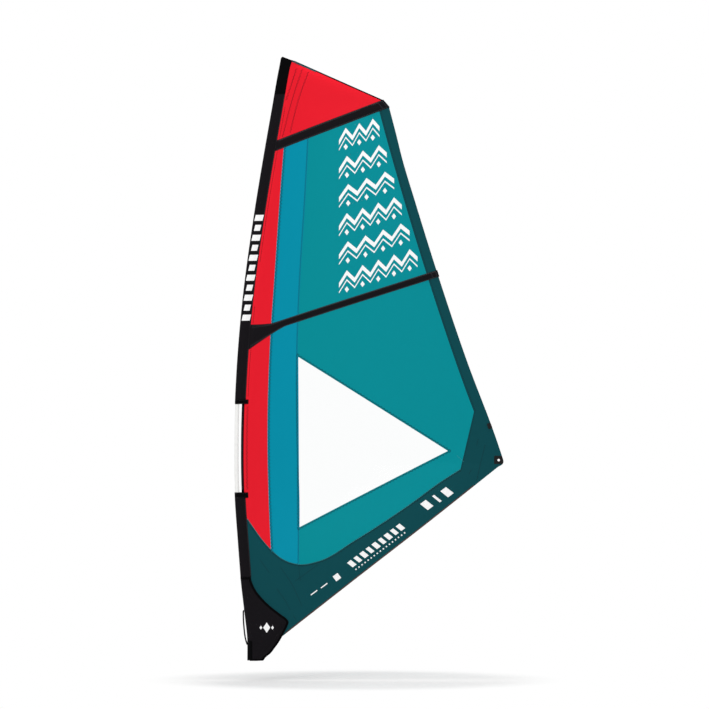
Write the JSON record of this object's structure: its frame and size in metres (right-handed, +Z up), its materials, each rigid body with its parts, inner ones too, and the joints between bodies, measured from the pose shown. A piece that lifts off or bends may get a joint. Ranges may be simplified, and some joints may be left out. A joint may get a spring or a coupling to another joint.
{
  "type": "windsurf rig",
  "caption": "Windsurf rig: a panelled, battened sail with a clear window on a sleeved mast, with mast extension, downhaul sheaves, tack fairing and clew ring.",
  "frame": {"origin": "centre of the mast extension's foot, where it meets the mast base joint", "axes": "+X aft towards the clew, +Y to the far side of the sail, +Z up towards the head"},
  "size_m": [1.9929, 0.1272, 4.4657],
  "materials": {
    "red_cloth": "red monofilm and coated cloth",
    "blue_cloth": "blue monofilm laminate",
    "teal_cloth": "teal monofilm laminate",
    "dark_cloth": "dark teal laminate",
    "black_cloth": "black coated cloth and webbing",
    "clear_film": "clear film",
    "white_gelcoat": "white gelcoat",
    "aluminium": "anodised",
    "steel": "stainless",
    "black_plastic": "moulded",
    "red_plastic": "moulded"
  },
  "bodies": {
    "rig": {"head_panel": "red_cloth", "upper_luff_panel": "red_cloth", "lower_luff_panel": "red_cloth", "upper_mast_sleeve": "black_cloth", "lower_mast_sleeve": "black_cloth", "upper_middle_panel": "blue_cloth", "lower_middle_panel": "blue_cloth", "upper_main_panel": "teal_cloth", "lower_main_panel": "teal_cloth", "upper_leech_panel": "dark_cloth", "lower_leech_panel": "dark_cloth", "clew_patch": "dark_cloth", "foot_panel": "dark_cloth", "window_panel": "clear_film", "head_edge_tape": "black_cloth", "foot_edge_tape": "black_cloth", "head_cap": "black_cloth", "upper_sleeve_hem": "black_cloth", "lower_sleeve_hem": "black_cloth", "cutout_binding": "black_cloth", "upper_batten_pocket": "black_cloth", "lower_batten_pocket": "black_cloth", "tack_fairing": "black_cloth", "tack_pull_strap": "black_cloth", "tack_webbing": "black_cloth", "clew_plate": "black_plastic", "clew_ring": "steel", "leech_tab": "black_plastic", "upper_batten": "white_gelcoat", "lower_batten": "white_gelcoat", "upper_tensioner_housing": "black_plastic", "lower_tensioner_housing": "black_plastic", "mast_base_section": "white_gelcoat", "mast_middle_section": "white_gelcoat", "mast_tip_section": "white_gelcoat", "lower_mast_ferrule": "black_plastic", "upper_mast_ferrule": "black_plastic", "mast_tip_plug": "black_plastic", "extension_tube": "aluminium", "extension_collar": "black_plastic", "extension_base": "black_plastic", "base_sheave_axle": "steel", "tack_block_frame": "black_plastic", "tack_block_axle": "steel"},
    "flap": {"tack_flap": "black_cloth"},
    "pin": {"collar_pin": "red_plastic"},
    "button": {"release_button": "red_plastic"},
    "lower_sheave_left": {"base_sheave_1": "aluminium"},
    "lower_sheave_right": {"base_sheave_2": "aluminium"},
    "upper_sheave_left": {"tack_sheave_1": "aluminium"},
    "upper_sheave_middle": {"tack_sheave_2": "aluminium"},
    "upper_sheave_right": {"tack_sheave_3": "aluminium"},
    "upper_screw": {"upper_tensioner_screw": "steel"},
    "upper_slider": {"upper_tensioner_slider": "black_plastic"},
    "lower_screw": {"lower_tensioner_screw": "steel"},
    "lower_slider": {"lower_tensioner_slider": "black_plastic"}
  },
  "joints": [
    {"name": "flap_opens", "type": "hinge", "parent": "rig", "child": "flap", "pos_m": [-0.019, -0.03769, 0], "axis": [0.0812, -0.0254, -0.9964], "range_deg": [0, 150]},
    {"name": "collar_pin_pulls", "type": "slide", "parent": "rig", "child": "pin", "axis": [0, -1, 0], "range_m": [0, 0.005], "stiffness_N_per_m": 600},
    {"name": "release_button_pushes", "type": "slide", "parent": "rig", "child": "button", "axis": [0, 1, 0], "range_m": [0, 0.003], "stiffness_N_per_m": 600},
    {"name": "lower_sheave_left_turns", "type": "hinge", "parent": "rig", "child": "lower_sheave_left", "pos_m": [0.02808, -0.0044, 0.0589], "axis": [0, 1, 0], "continuous": true},
    {"name": "lower_sheave_right_turns", "type": "hinge", "parent": "rig", "child": "lower_sheave_right", "pos_m": [0.02808, 0.0044, 0.0589], "axis": [0, 1, 0], "continuous": true},
    {"name": "upper_sheave_left_turns", "type": "hinge", "parent": "rig", "child": "upper_sheave_left", "pos_m": [0.02835, -0.0088, 0.19955], "axis": [0, 1, 0], "continuous": true},
    {"name": "upper_sheave_middle_turns", "type": "hinge", "parent": "rig", "child": "upper_sheave_middle", "pos_m": [0.02835, 0, 0.19955], "axis": [0, 1, 0], "continuous": true},
    {"name": "upper_sheave_right_turns", "type": "hinge", "parent": "rig", "child": "upper_sheave_right", "pos_m": [0.02835, 0.0088, 0.19955], "axis": [0, 1, 0], "continuous": true},
    {"name": "upper_screw_turns", "type": "hinge", "parent": "rig", "child": "upper_screw", "pos_m": [0.98043, 0.0526, 4.1205], "axis": [0.9331, 0.06, 0.3546], "range_deg": [0, 2160]},
    {"name": "upper_slider_slides", "type": "slide", "parent": "rig", "child": "upper_slider", "axis": [0.9331, 0.06, 0.3546], "range_m": [0, 0.012]},
    {"name": "lower_screw_turns", "type": "hinge", "parent": "rig", "child": "lower_screw", "pos_m": [1.36976, 0.01957, 2.86531], "axis": [0.9515, 0.0011, 0.3078], "range_deg": [0, 2160]},
    {"name": "lower_slider_slides", "type": "slide", "parent": "rig", "child": "lower_slider", "axis": [0.9515, 0.0011, 0.3078], "range_m": [0, 0.012]}
  ],
  "couplings": [
    {"joint": "upper_slider_slides", "follows": "upper_screw_turns", "m_per_rad": 0.0003183},
    {"joint": "lower_slider_slides", "follows": "lower_screw_turns", "m_per_rad": 0.0003183}
  ]
}
